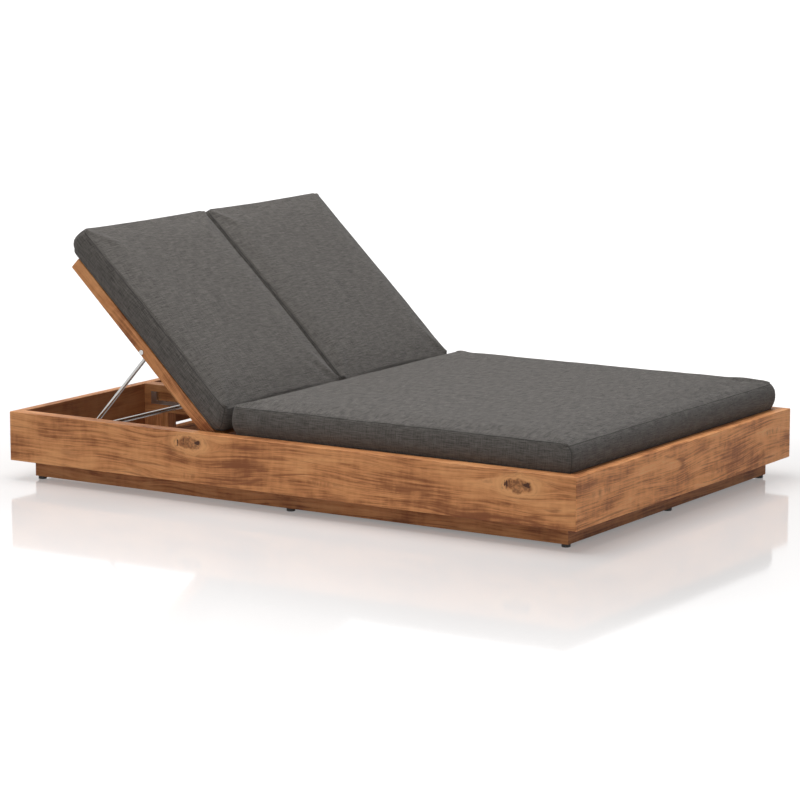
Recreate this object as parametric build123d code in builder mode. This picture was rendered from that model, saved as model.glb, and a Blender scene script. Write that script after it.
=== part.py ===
"""Double chaise lounger: a low tray of mitred boards on a recessed plinth, a slatted deck with
one wide seat cushion, and two backs side by side, each held up by a steel prop in two racks.

Millimetres. X runs across, Y from the foot end to the head end, Z up from the floor.
Left is the -X side, as someone at the foot end sees it."""

import os
from math import asin, cos, radians, sin, sqrt

from build123d import *

os.makedirs("parts", exist_ok=True)

# Overall size and the outer boards
overall_length = 2000.0
overall_width = 1344.0
board_thickness = 45.0
head_board_thickness = 30.0
board_height = 152.0
board_corner_radius = 3.0
board_edge_radius = 2.0

# Feet and the recessed plinth
foot_height = 10.0
foot_radius = 13.0
foot_edge_radius = 2.0
foot_stem_radius = 4.0
foot_stem_length = 18.0
plinth_height = 52.0
plinth_thickness = 30.0
plinth_inset = 55.0

# Timbers inside the tray
ledger_thickness = 30.0
ledger_height = 40.0
corner_block_width = 45.0
beam_thickness = 45.0
beam_height = 87.0
post_width = 91.0
bearer_thickness = 45.0
deck_to_beam = 15.0

# Deck
deck_drop = 14.0
deck_side_clearance = 3.0
deck_end_clearance = 2.0
slat_thickness = 18.0
slat_width = 70.0
slat_least_gap = 18.0
slat_edge_radius = 2.0

# Backs, measured along the rail from the hinge, and square to it from the rail's centre line
recline_angle = 44.0
hinge_height = 178.0
deck_end_to_hinge = 61.0
rail_depth = 38.0
rail_width = 40.0
rail_reach = 727.0
rail_edge_radius = 2.0
rail_to_board = 6.0
rail_to_beam = 3.5
cross_rail_width = 38.0
bottom_rail_start = 15.0
back_slat_width = 60.0
back_slat_least_gap = 34.0
back_slat_thickness = 15.0

# Props: each is longer by the spare length than its top stands over its crossbar in the last notch
prop_bolt_reach = 373.0
prop_bolt_drop = 10.0
prop_spare_length = 46.2
prop_to_rail = 6.0
leg_radius = 6.0
eye_radius = 11.0
crossbar_radius = 7.0
crossbar_height = 170.0

# Racks and the angles they hold the back at, counted from the recline angle
notch_angle = 5.0
notches_below = 4
notches_above = 2
rack_depth = 10.0
rack_floor_height = 12.0
rack_end_width = 21.0
rack_headroom = 14.0
rack_end_play = 3.0
rack_to_board = 26.0
rack_rail_thickness = 40.0
rack_rail_lead = 25.0
crossbar_end_gap = 2.0
notch_depth = 2.0

# Hinges and fasteners
hinge_bolt_radius = 5.0
hinge_head_radius = 9.0
hinge_head_height = 5.0
hinge_bolt_bite = 18.0
spacer_radius = 12.0
prop_bolt_radius = 4.0
prop_head_radius = 8.0
prop_head_height = 3.0
prop_nut_radius = 7.0
prop_nut_height = 6.0
prop_nut_sides = 6
prop_bolt_tail = 2.0
bolt_head_edge_radius = 1.2
screw_head_radius = 4.0
screw_shank_radius = 2.0
screw_head_height = 2.2
deck_screw_length = 38.0
rack_screw_length = 20.0

# Cushions
seat_cushion_thickness = 106.0
seat_cushion_overlap = 6.0
seat_cushion_foot_gap = 3.0
back_cushion_thickness = 92.0
back_cushion_start = 44.0
back_cushion_overhang = 48.0
back_cushion_overlap = 4.0
back_cushion_centre_gap = 1.5
cushion_tuck = 6.0
cushion_corner_radius = 24.0
cushion_side_pull = 4.0
cushion_crown = 6.0
cushion_crown_inset = 170.0

# Clearances
soft_clearance = 0.3
turning_clearance = 0.3
running_clearance = 0.05
seat_clearance = 0.05

# Heights and faces that the sizes above give
half_length = overall_length / 2
half_width = overall_width / 2
inner_x = half_width - board_thickness
inner_y = half_length - board_thickness
head_inner_y = half_length - head_board_thickness
plinth_bottom = foot_height
board_bottom = foot_height + plinth_height
board_top = board_bottom + board_height
deck_top = board_top - deck_drop
deck_under = deck_top - slat_thickness
beam_bottom = board_top - beam_height
beam_face = beam_thickness / 2
ledger_face = inner_x - ledger_thickness
plinth_x = half_width - plinth_inset
plinth_y = half_length - plinth_inset
plinth_inner_x = plinth_x - plinth_thickness
plinth_inner_y = plinth_y - plinth_thickness
block_x = inner_x - corner_block_width
block_y = inner_y - corner_block_width
head_block_y = head_inner_y - corner_block_width

# The prop: its top bolt turns about the hinge, and its length settles where the crossbar stands
notch_turns = [notch_angle * step for step in range(-notches_below, notches_above + 1)]
bolt_turn_radius = sqrt(prop_bolt_reach**2 + prop_bolt_drop**2)
bolt_lag = asin(prop_bolt_drop / bolt_turn_radius)


def bolt_over_crossbar(turn):
    """How far the bolt is above the crossbar when the back has turned up this far from rest."""
    rise = radians(recline_angle + turn) - bolt_lag
    return hinge_height + bolt_turn_radius * sin(rise) - crossbar_height


prop_length = bolt_over_crossbar(notch_turns[-1]) + prop_spare_length


def crossbar_past_hinge(turn):
    """How far the crossbar is from the hinge, measured level."""
    rise = radians(recline_angle + turn) - bolt_lag
    return bolt_turn_radius * cos(rise) + sqrt(prop_length**2 - bolt_over_crossbar(turn) ** 2)


# Along the tray: the racks end near the head board, the hinge stands ahead of them, then the deck
rack_end = head_inner_y - rack_to_board
slot_end = rack_end - rack_end_width
hinge_y = slot_end - rack_end_play - crossbar_radius - crossbar_past_hinge(notch_turns[0])
deck_start = -inner_y + deck_end_clearance
deck_end = hinge_y - deck_end_to_hinge
beam_start = deck_end + deck_to_beam
bearer_end = beam_start + bearer_thickness

# Holes round the bolts: held ones and running ones
hinge_seat_radius = hinge_bolt_radius + seat_clearance
hinge_bore_radius = hinge_bolt_radius + running_clearance
prop_seat_radius = prop_bolt_radius + seat_clearance
prop_eye_bore_radius = prop_bolt_radius + running_clearance

# The back's own directions: along the rail, and square to it towards the cushion
along_y = cos(radians(recline_angle))
along_z = sin(radians(recline_angle))
back_side = Plane(origin=(0, hinge_y, hinge_height), x_dir=(0, along_y, along_z), z_dir=(1, 0, 0))

# Across the left bay, from the outer rail to the inner one
outer_rail_x = inner_x - rail_to_board
outer_rail_inner_x = outer_rail_x - rail_width
inner_rail_x = beam_face + rail_to_beam
inner_rail_outer_x = inner_rail_x + rail_width
outer_leg_x = outer_rail_inner_x - prop_to_rail - leg_radius
inner_leg_x = inner_rail_outer_x + prop_to_rail + leg_radius
rack_rail_face = inner_x - rack_rail_thickness


def on_back(reach, rise):
    """The Y and Z of a point given along the rail and square to it."""
    return (
        hinge_y + reach * along_y - rise * along_z,
        hinge_height + reach * along_z + rise * along_y,
    )


prop_bolt_y, prop_bolt_z = on_back(prop_bolt_reach, -prop_bolt_drop)
crossbar_rest_y = hinge_y + crossbar_past_hinge(0)
notch_places = [hinge_y + crossbar_past_hinge(turn) for turn in notch_turns]

# The rack's opening, and the steel round it
rack_land = crossbar_height - crossbar_radius - turning_clearance
rack_bottom = rack_land - rack_floor_height
rack_top = crossbar_height + crossbar_radius + rack_headroom
slot_start = notch_places[-1] - crossbar_radius - rack_end_play
rack_start = slot_start - rack_end_width
rack_screw_y = (rack_start + rack_end_width / 2, rack_end - rack_end_width / 2)
rack_screw_z = (rack_bottom + rack_top) / 2

# Slats: as many as fit at the least gap, then spread evenly
deck_length = deck_end - deck_start
slat_count = int((deck_length + slat_least_gap) / (slat_width + slat_least_gap))
slat_pitch = (deck_length - slat_width) / (slat_count - 1)
slat_centres = [deck_start + slat_width / 2 + slat_pitch * number for number in range(slat_count)]
deck_screw_x = inner_x - ledger_thickness / 2


def timber(x_from, x_to, y_from, y_to, z_from, z_to):
    """Adds a squared timber between these faces to the part being made."""
    with BuildSketch(Plane.XY.offset(z_from)) as section:
        with Locations(((x_from + x_to) / 2, (y_from + y_to) / 2)):
            Rectangle(abs(x_to - x_from), y_to - y_from)
    extrude(section.sketch, amount=z_to - z_from)


def back_timber(x_from, x_to, reach_from, reach_to, rise_from, rise_to):
    """Adds a timber of the back, given along the rail and square to it."""
    with BuildSketch(back_side.offset(min(x_from, x_to))) as section:
        with Locations(((reach_from + reach_to) / 2, (rise_from + rise_to) / 2)):
            Rectangle(reach_to - reach_from, rise_to - rise_from)
    extrude(section.sketch, amount=abs(x_to - x_from))


def plan(points, z_from, height, mode=Mode.ADD):
    """Adds or keeps a block with this outline from above."""
    with BuildSketch(Plane.XY.offset(z_from)) as outline:
        with BuildLine():
            Polyline(*points, close=True)
        make_face()
    extrude(outline.sketch, amount=height, mode=mode)


def disc(y, z, x_from, x_to, radius, mode=Mode.ADD):
    """Adds or cuts a round bar that lies across, between two places."""
    with BuildSketch(Plane.YZ.offset(min(x_from, x_to))) as section:
        with Locations((y, z)):
            Circle(radius)
    extrude(section.sketch, amount=abs(x_to - x_from), mode=mode)


def screw(length, clearance=0.0, mode=Mode.ADD):
    """A countersunk screw, or the hole that it sits in, with its head's face at the place."""
    under = (Align.CENTER, Align.CENTER, Align.MAX)
    Cylinder(screw_shank_radius + clearance, length + clearance, align=under, mode=mode)
    Cone(
        screw_shank_radius + clearance,
        screw_head_radius + clearance,
        screw_head_height,
        align=under,
        mode=mode,
    )


# Outer boards: one block eased outside and hollowed, cut at the mitres, then eased inside
mitre_x = half_width + board_thickness
foot_mitre_y = half_length + board_thickness
head_mitre_y = half_length + head_board_thickness
core_x = inner_x - board_thickness
foot_core_y = inner_y - board_thickness
head_core_y = head_inner_y - head_board_thickness
foot_left = [(-mitre_x, -foot_mitre_y), (-core_x, -foot_core_y)]
foot_right = [(mitre_x, -foot_mitre_y), (core_x, -foot_core_y)]
head_left = [(-mitre_x, head_mitre_y), (-core_x, head_core_y)]
head_right = [(mitre_x, head_mitre_y), (core_x, head_core_y)]
opening = [(-inner_x, -inner_y), (inner_x, -inner_y), (inner_x, head_inner_y), (-inner_x, head_inner_y)]
board_middle = (0, 0, (board_bottom + board_top) / 2)
board_mitres = {
    "foot_board": (foot_left, foot_right),
    "head_board": (head_left, head_right),
    "left_side_board": (foot_left, head_left),
    "right_side_board": (foot_right, head_right),
}
for name, (one_mitre, other_mitre) in board_mitres.items():
    wedge = one_mitre + other_mitre[::-1]
    run = Axis.Y if name.endswith("side_board") else Axis.X
    with BuildPart() as board:
        with BuildSketch(Plane.XY.offset(board_bottom)):
            RectangleRounded(overall_width, overall_length, board_corner_radius)
        extrude(amount=board_height)
        fillet(board.edges().group_by(Axis.Z)[-1], board_edge_radius)
        fillet(board.edges().group_by(Axis.Z)[0], board_edge_radius)
        plan(opening, board_bottom, board_height, mode=Mode.SUBTRACT)
        plan(wedge, board_bottom, board_height, mode=Mode.INTERSECT)
        inner_edges = board.edges().filter_by(run).sort_by_distance(board_middle)[:2]
        fillet(inner_edges, board_edge_radius)
        if name.endswith("side_board"):
            side = -1 if name.startswith("left") else 1
            bite = side * (inner_x + hinge_bolt_bite + seat_clearance)
            disc(hinge_y, hinge_height, side * inner_x, bite, hinge_seat_radius, Mode.SUBTRACT)
    board.part.label = name
    export_step(board.part, f"parts/{name}.step")

# Plinth boards, mitred at the corners, with a rail along the middle
foot_spots = [(x, y) for x in (-1, 0, 1) for y in (-1, 0, 1)]
plinth_middle_x = plinth_x - plinth_thickness / 2
plinth_middle_y = plinth_y - plinth_thickness / 2
foot_places = [(x * plinth_middle_x, y * plinth_middle_y) for x, y in foot_spots]


def foot_sockets():
    """Cuts the blind holes that the feet screw into."""
    with BuildSketch(Plane.XY.offset(plinth_bottom)) as sockets:
        with Locations(*foot_places):
            Circle(foot_stem_radius + seat_clearance)
    extrude(sockets.sketch, amount=foot_stem_length + seat_clearance, mode=Mode.SUBTRACT)


for name, way in (("foot", -1), ("head", 1)):
    with BuildPart() as end_plinth:
        outline = [
            (-plinth_x, way * plinth_y),
            (plinth_x, way * plinth_y),
            (plinth_inner_x, way * plinth_inner_y),
            (-plinth_inner_x, way * plinth_inner_y),
        ]
        plan(outline, plinth_bottom, plinth_height)
        foot_sockets()
    end_plinth.part.label = f"{name}_plinth"
    export_step(end_plinth.part, f"parts/{name}_plinth.step")

for name, side in (("left", -1), ("right", 1)):
    with BuildPart() as side_plinth:
        outline = [
            (side * plinth_x, -plinth_y),
            (side * plinth_x, plinth_y),
            (side * plinth_inner_x, plinth_inner_y),
            (side * plinth_inner_x, -plinth_inner_y),
        ]
        plan(outline, plinth_bottom, plinth_height)
        foot_sockets()
    side_plinth.part.label = f"{name}_plinth"
    export_step(side_plinth.part, f"parts/{name}_plinth.step")

with BuildPart() as centre_plinth:
    timber(-beam_face, beam_face, -plinth_inner_y, plinth_inner_y, plinth_bottom, board_bottom)
    foot_sockets()
centre_plinth.part.label = "centre_plinth"
export_step(centre_plinth.part, "parts/centre_plinth.step")

# Feet: turned glides with a threaded stem
with BuildPart() as feet:
    with BuildSketch(Plane.XY):
        with Locations(*foot_places):
            Circle(foot_radius)
    extrude(amount=foot_height)
    fillet(feet.edges().group_by(Axis.Z)[0], foot_edge_radius)
    with BuildSketch(Plane.XY.offset(foot_height)):
        with Locations(*foot_places):
            Circle(foot_stem_radius)
    extrude(amount=foot_stem_length)
feet.part.label = "feet"
export_step(feet.part, "parts/feet.step")

# Ledgers: the low ones join the boards to the plinth, the high ones carry the slats
ledger_runs = {
    "base_ledger": (board_bottom, head_block_y),
    "deck_ledger": (deck_under - ledger_height, deck_end),
}
for level, (ledger_bottom, ledger_end) in ledger_runs.items():
    for name, side in (("left", -1), ("right", 1)):
        with BuildPart() as side_ledger:
            timber(
                side * ledger_face,
                side * inner_x,
                -block_y,
                ledger_end,
                ledger_bottom,
                ledger_bottom + ledger_height,
            )
            with Locations(*[(side * deck_screw_x, y, deck_top) for y in slat_centres]):
                screw(deck_screw_length, seat_clearance, Mode.SUBTRACT)
        side_ledger.part.label = f"{name}_{level}"
        export_step(side_ledger.part, f"parts/{name}_{level}.step")
    with BuildPart() as foot_ledger:
        timber(
            -block_x,
            block_x,
            -inner_y,
            -inner_y + ledger_thickness,
            ledger_bottom,
            ledger_bottom + ledger_height,
        )
    foot_ledger.part.label = f"foot_{level}"
    export_step(foot_ledger.part, f"parts/foot_{level}.step")

# Corner blocks: tall at the foot end, low under the rack rails at the head end
with BuildPart() as foot_corner_blocks:
    for side in (-1, 1):
        timber(side * block_x, side * inner_x, -inner_y, -block_y, board_bottom, deck_under)
        with Locations((side * deck_screw_x, slat_centres[0], deck_top)):
            screw(deck_screw_length, seat_clearance, Mode.SUBTRACT)
foot_corner_blocks.part.label = "foot_corner_blocks"
export_step(foot_corner_blocks.part, "parts/foot_corner_blocks.step")

with BuildPart() as head_corner_blocks:
    for side in (-1, 1):
        timber(side * block_x, side * inner_x, head_block_y, head_inner_y, board_bottom, beam_bottom)
head_corner_blocks.part.label = "head_corner_blocks"
export_step(head_corner_blocks.part, "parts/head_corner_blocks.step")

# Centre line: joist under the deck, bearer under the hinges, post and beam between the bays
with BuildPart() as centre_joist:
    timber(-beam_face, beam_face, -inner_y + ledger_thickness, beam_start, board_bottom, deck_under)
    with Locations(*[(0, y, deck_top) for y in slat_centres]):
        screw(deck_screw_length, seat_clearance, Mode.SUBTRACT)
centre_joist.part.label = "centre_joist"
export_step(centre_joist.part, "parts/centre_joist.step")

with BuildPart() as hinge_bearer:
    timber(-ledger_face, ledger_face, beam_start, bearer_end, board_bottom, beam_bottom)
hinge_bearer.part.label = "hinge_bearer"
export_step(hinge_bearer.part, "parts/hinge_bearer.step")

with BuildPart() as centre_post:
    timber(-beam_face, beam_face, head_inner_y - post_width, head_inner_y, board_bottom, beam_bottom)
centre_post.part.label = "centre_post"
export_step(centre_post.part, "parts/centre_post.step")


def rack_pocket(face, inward):
    """Cuts the pocket that a rack is let into, and its screw holes."""
    with BuildSketch(Plane.YZ.offset(min(face, face + inward * rack_depth))) as pocket:
        with Locations(((rack_start + rack_end) / 2, (rack_bottom + rack_top) / 2)):
            Rectangle(rack_end - rack_start, rack_top - rack_bottom)
    extrude(pocket.sketch, amount=rack_depth, mode=Mode.SUBTRACT)
    rack_screw_holes(face, inward)


def rack_screw_planes(face, inward):
    """The faces of the two screws of the rack whose open side is at this X."""
    return [Plane(origin=(face, y, rack_screw_z), z_dir=(-inward, 0, 0)) for y in rack_screw_y]


def rack_screw_holes(face, inward):
    with Locations(*rack_screw_planes(face, inward)):
        screw(rack_screw_length, seat_clearance, Mode.SUBTRACT)


with BuildPart() as centre_beam:
    timber(-beam_face, beam_face, beam_start, head_inner_y, beam_bottom, board_top)
    for side in (-1, 1):
        rack_pocket(side * beam_face, -side)
        bite = side * (beam_face - hinge_bolt_bite - seat_clearance)
        disc(hinge_y, hinge_height, side * beam_face, bite, hinge_seat_radius, Mode.SUBTRACT)
centre_beam.part.label = "centre_beam"
export_step(centre_beam.part, "parts/centre_beam.step")

for name, side in (("left", -1), ("right", 1)):
    with BuildPart() as rack_rail:
        timber(
            side * rack_rail_face,
            side * inner_x,
            rack_start - rack_rail_lead,
            head_inner_y,
            beam_bottom,
            deck_top,
        )
        rack_pocket(side * rack_rail_face, side)
    rack_rail.part.label = f"{name}_rack_rail"
    export_step(rack_rail.part, f"parts/{name}_rack_rail.step")

# Racks: steel let into the timber, with a shallow notch for each position of the back
rack_places = {
    "left_outer_rack": (-rack_rail_face, -1),
    "left_inner_rack": (-beam_face, 1),
    "right_inner_rack": (beam_face, -1),
    "right_outer_rack": (rack_rail_face, 1),
}
for name, (face, inward) in rack_places.items():
    with BuildPart() as rack:
        with BuildSketch(Plane.YZ.offset(min(face, face + inward * rack_depth))):
            with BuildLine():
                Polyline(
                    (rack_start, rack_bottom),
                    (rack_end, rack_bottom),
                    (rack_end, rack_top),
                    (slot_end, rack_top),
                    (slot_end, rack_land),
                    (slot_start, rack_land),
                    (slot_start, rack_top),
                    (rack_start, rack_top),
                    close=True,
                )
            make_face()
            with Locations(*[(y, crossbar_height - notch_depth) for y in notch_places]):
                Circle(crossbar_radius + turning_clearance, mode=Mode.SUBTRACT)
        extrude(amount=rack_depth)
        rack_screw_holes(face, inward)
    rack.part.label = name
    export_step(rack.part, f"parts/{name}.step")

with BuildPart() as rack_screws:
    for face, inward in rack_places.values():
        with Locations(*rack_screw_planes(face, inward)):
            screw(rack_screw_length)
rack_screws.part.label = "rack_screws"
export_step(rack_screws.part, "parts/rack_screws.step")

# Deck slats and their screws
slat_end_x = inner_x - deck_side_clearance
deck_screw_places = [(x, y, deck_top) for x in (-deck_screw_x, 0, deck_screw_x) for y in slat_centres]
with BuildPart() as deck_slats:
    for y in slat_centres:
        timber(-slat_end_x, slat_end_x, y - slat_width / 2, y + slat_width / 2, deck_under, deck_top)
    fillet(deck_slats.edges().filter_by(Axis.X).group_by(Axis.Z)[-1], slat_edge_radius)
    with Locations(*deck_screw_places):
        screw(deck_screw_length, seat_clearance, Mode.SUBTRACT)
deck_slats.part.label = "deck_slats"
export_step(deck_slats.part, "parts/deck_slats.step")

with BuildPart() as deck_screws:
    with Locations(*deck_screw_places):
        screw(deck_screw_length)
deck_screws.part.label = "deck_screws"
export_step(deck_screws.part, "parts/deck_screws.step")

# Hinge bolts: the head is inside the back, the thread in the side board or the centre beam
hinge_seats = []
for side in (-1, 1):
    hinge_seats.append((side * inner_x, side * outer_rail_x, side * outer_rail_inner_x, side))
    hinge_seats.append((side * beam_face, side * inner_rail_x, side * inner_rail_outer_x, -side))

with BuildPart() as hinge_bolts:
    for _, _, head_x, outward in hinge_seats:
        under_head = head_x - outward * turning_clearance
        disc(hinge_y, hinge_height, under_head, under_head - outward * hinge_head_height, hinge_head_radius)
    fillet(hinge_bolts.edges().filter_by(GeomType.CIRCLE), bolt_head_edge_radius)
    for seat_x, _, head_x, outward in hinge_seats:
        under_head = head_x - outward * turning_clearance
        disc(hinge_y, hinge_height, under_head, seat_x + outward * hinge_bolt_bite, hinge_bolt_radius)
hinge_bolts.part.label = "hinge_bolts"
export_step(hinge_bolts.part, "parts/hinge_bolts.step")

with BuildPart() as hinge_spacers:
    for seat_x, rail_x, _, outward in hinge_seats:
        near_rail = rail_x + outward * turning_clearance
        disc(hinge_y, hinge_height, seat_x, near_rail, spacer_radius)
        disc(hinge_y, hinge_height, seat_x, near_rail, hinge_seat_radius, Mode.SUBTRACT)
hinge_spacers.part.label = "hinge_spacers"
export_step(hinge_spacers.part, "parts/hinge_spacers.step")


def cushion_outline(half_wide, half_long):
    """A cushion's outline from above: round corners, and sides drawn in between them."""
    corner_x = half_wide - cushion_corner_radius
    corner_y = half_long - cushion_corner_radius
    bend = cushion_corner_radius * sin(radians(45))
    with BuildLine() as outline:
        for x, y in ((1, 1), (-1, 1), (-1, -1), (1, -1)):
            ThreePointArc(
                (x * half_wide, y * corner_y),
                (x * (corner_x + bend), y * (corner_y + bend)),
                (x * corner_x, y * half_long),
            )
        for way in (-1, 1):
            ThreePointArc(
                (way * half_wide, -corner_y),
                (way * (half_wide - cushion_side_pull), 0),
                (way * half_wide, corner_y),
            )
            ThreePointArc(
                (-corner_x, way * half_long),
                (0, way * (half_long - cushion_side_pull)),
                (corner_x, way * half_long),
            )
    make_face(outline.edges())


# Height as a share of the thickness, and inset as a share of the tuck
cushion_side_shares = ((0, 1.6), (0.13, 1.2), (0.3, 0.2), (0.6, 0), (0.9, 0.3), (1, 1))
# Height as a share of the crown, and inset as a share of the crown's inset
cushion_crown_shares = ((0.65, 0.4), (1, 1))


def cushion(base, half_wide, half_long, thickness):
    """A box cushion on a plane: tucked in below, full at the side, crowned on top."""
    levels = [(height * thickness, inset * cushion_tuck) for height, inset in cushion_side_shares]
    for height, inset in cushion_crown_shares:
        levels.append((thickness + height * cushion_crown, cushion_tuck + inset * cushion_crown_inset))
    sections = []
    for height, inset in levels:
        with BuildSketch(base.offset(height)) as section:
            cushion_outline(half_wide - inset, half_long - inset)
        sections.append(section.sketch)
    loft(sections, ruled=True)


# Seat cushion: it stands in the tray and swells over the boards
seat_foot_y = -inner_y + seat_cushion_foot_gap - seat_cushion_overlap
seat_middle_y = (seat_foot_y + deck_end) / 2
with BuildPart() as seat_cushion:
    cushion(
        Plane(origin=(0, seat_middle_y, deck_top + soft_clearance)),
        inner_x + seat_cushion_overlap,
        (deck_end - seat_foot_y) / 2,
        seat_cushion_thickness,
    )
seat_cushion.part.label = "seat_cushion"
export_step(seat_cushion.part, "parts/seat_cushion.step")

# The two backs
half_depth = rail_depth / 2
bottom_rail_end = bottom_rail_start + cross_rail_width
top_rail_start = rail_reach - cross_rail_width
slatted_length = top_rail_start - bottom_rail_end
back_slat_pitch_least = back_slat_width + back_slat_least_gap
back_slat_count = int((slatted_length - back_slat_least_gap) / back_slat_pitch_least)
back_slat_gap = (slatted_length - back_slat_count * back_slat_width) / (back_slat_count + 1)
back_slat_starts = [
    bottom_rail_end + back_slat_gap + number * (back_slat_width + back_slat_gap)
    for number in range(back_slat_count)
]
rail_way = Axis((0, 0, 0), (0, along_y, along_z))
back_cushion_end = rail_reach + back_cushion_overhang
back_cushion_outer_x = inner_x + back_cushion_overlap
back_cushion_middle_x = (back_cushion_outer_x + back_cushion_centre_gap) / 2
back_cushion_middle = on_back((back_cushion_start + back_cushion_end) / 2, half_depth + soft_clearance)

for name, side in (("left", -1), ("right", 1)):
    rails = {
        "outer": (side * outer_rail_x, side * outer_rail_inner_x),
        "inner": (side * inner_rail_outer_x, side * inner_rail_x),
    }
    for place, (rail_from, rail_to) in rails.items():
        with BuildPart() as rail:
            with BuildSketch(back_side.offset(min(rail_from, rail_to))):
                with BuildLine():
                    Polyline(
                        (0, half_depth),
                        (rail_reach, half_depth),
                        (rail_reach, -half_depth),
                        (0, -half_depth),
                    )
                    ThreePointArc((0, -half_depth), (-half_depth, 0), (0, half_depth))
                make_face()
            extrude(amount=rail_width)
            fillet(rail.edges().filter_by(rail_way), rail_edge_radius)
            disc(hinge_y, hinge_height, rail_from, rail_to, hinge_bore_radius, Mode.SUBTRACT)
            disc(prop_bolt_y, prop_bolt_z, rail_from, rail_to, prop_seat_radius, Mode.SUBTRACT)
        rail.part.label = f"{name}_back_{place}_rail"
        export_step(rail.part, f"parts/{name}_back_{place}_rail.step")

    cross_from = side * outer_rail_inner_x
    cross_to = side * inner_rail_outer_x
    with BuildPart() as bottom_rail:
        back_timber(cross_from, cross_to, bottom_rail_start, bottom_rail_end, -half_depth, half_depth)
    bottom_rail.part.label = f"{name}_back_bottom_rail"
    export_step(bottom_rail.part, f"parts/{name}_back_bottom_rail.step")

    with BuildPart() as top_rail:
        back_timber(cross_from, cross_to, top_rail_start, rail_reach, -half_depth, half_depth)
        fillet(top_rail.edges().filter_by(Axis.X).group_by(Axis.Z)[-1], rail_edge_radius)
    top_rail.part.label = f"{name}_back_top_rail"
    export_step(top_rail.part, f"parts/{name}_back_top_rail.step")

    with BuildPart() as back_slats:
        for start in back_slat_starts:
            back_timber(
                cross_from,
                cross_to,
                start,
                start + back_slat_width,
                half_depth - back_slat_thickness,
                half_depth,
            )
    back_slats.part.label = f"{name}_back_slats"
    export_step(back_slats.part, f"parts/{name}_back_slats.step")

    with BuildPart() as back_cushion:
        cushion(
            Plane(
                origin=(side * back_cushion_middle_x, *back_cushion_middle),
                x_dir=(1, 0, 0),
                z_dir=(0, -along_z, along_y),
            ),
            (back_cushion_outer_x - back_cushion_centre_gap) / 2,
            (back_cushion_end - back_cushion_start) / 2,
            back_cushion_thickness,
        )
    back_cushion.part.label = f"{name}_back_cushion"
    export_step(back_cushion.part, f"parts/{name}_back_cushion.step")

    # Each leg hangs inside its rail on a bolt with a spacer between and a nut at the end
    legs = [
        (side * outer_rail_x, side * outer_rail_inner_x, side * outer_leg_x, -side),
        (side * inner_rail_x, side * inner_rail_outer_x, side * inner_leg_x, side),
    ]
    with BuildPart() as prop_bolts:
        for head_x, _, _, inward in legs:
            disc(prop_bolt_y, prop_bolt_z, head_x, head_x - inward * prop_head_height, prop_head_radius)
        fillet(prop_bolts.edges().filter_by(GeomType.CIRCLE), bolt_head_edge_radius)
        for head_x, _, leg_x, inward in legs:
            nut_x = leg_x + inward * (leg_radius + turning_clearance)
            tail_x = nut_x + inward * (prop_nut_height + prop_bolt_tail)
            disc(prop_bolt_y, prop_bolt_z, head_x, tail_x, prop_bolt_radius)
    prop_bolts.part.label = f"{name}_prop_bolts"
    export_step(prop_bolts.part, f"parts/{name}_prop_bolts.step")

    with BuildPart() as prop_spacers:
        for _, rail_x, leg_x, inward in legs:
            near_leg = leg_x - inward * (leg_radius + turning_clearance)
            disc(prop_bolt_y, prop_bolt_z, rail_x, near_leg, prop_head_radius)
            disc(prop_bolt_y, prop_bolt_z, rail_x, near_leg, prop_seat_radius, Mode.SUBTRACT)
    prop_spacers.part.label = f"{name}_prop_spacers"
    export_step(prop_spacers.part, f"parts/{name}_prop_spacers.step")

    with BuildPart() as prop_nuts:
        for _, _, leg_x, inward in legs:
            nut_x = leg_x + inward * (leg_radius + turning_clearance)
            nut_end = nut_x + inward * prop_nut_height
            with BuildSketch(Plane.YZ.offset(min(nut_x, nut_end))):
                with Locations((prop_bolt_y, prop_bolt_z)):
                    RegularPolygon(prop_nut_radius, prop_nut_sides)
                    Circle(prop_seat_radius, mode=Mode.SUBTRACT)
            extrude(amount=prop_nut_height)
    prop_nuts.part.label = f"{name}_prop_nuts"
    export_step(prop_nuts.part, f"parts/{name}_prop_nuts.step")

    # The prop: two legs with an eye each, welded to a crossbar whose ends run in the racks
    bar_outer = side * (rack_rail_face + rack_depth - crossbar_end_gap)
    bar_inner = side * (beam_face - rack_depth + crossbar_end_gap)
    with BuildPart() as prop_crossbar:
        disc(crossbar_rest_y, crossbar_height, bar_outer, bar_inner, crossbar_radius)
        fillet(prop_crossbar.edges().filter_by(GeomType.CIRCLE), bolt_head_edge_radius)
    prop_crossbar.part.label = f"{name}_prop_crossbar"
    export_step(prop_crossbar.part, f"parts/{name}_prop_crossbar.step")

    with BuildPart() as prop_legs:
        for leg_x in (side * outer_leg_x, side * inner_leg_x):
            eye = (leg_x, prop_bolt_y, prop_bolt_z)
            fall = (0, crossbar_rest_y - prop_bolt_y, crossbar_height - prop_bolt_z)
            with BuildSketch(Plane(origin=eye, z_dir=fall)):
                Circle(leg_radius)
            extrude(amount=prop_length)
            disc(prop_bolt_y, prop_bolt_z, leg_x - leg_radius, leg_x + leg_radius, eye_radius)
        disc(prop_bolt_y, prop_bolt_z, bar_outer, bar_inner, prop_eye_bore_radius, Mode.SUBTRACT)
        disc(crossbar_rest_y, crossbar_height, bar_outer, bar_inner, crossbar_radius, Mode.SUBTRACT)
    prop_legs.part.label = f"{name}_prop_legs"
    export_step(prop_legs.part, f"parts/{name}_prop_legs.step")
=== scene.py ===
"""Double chaise lounger: teak tray, slatted deck, box cushions and two reclining backs on steel props.

Metres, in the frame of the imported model. X runs across, Y from the foot end to the head end."""

import math

import bmesh
import bpy
from mathutils import Matrix, Vector, noise


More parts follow.
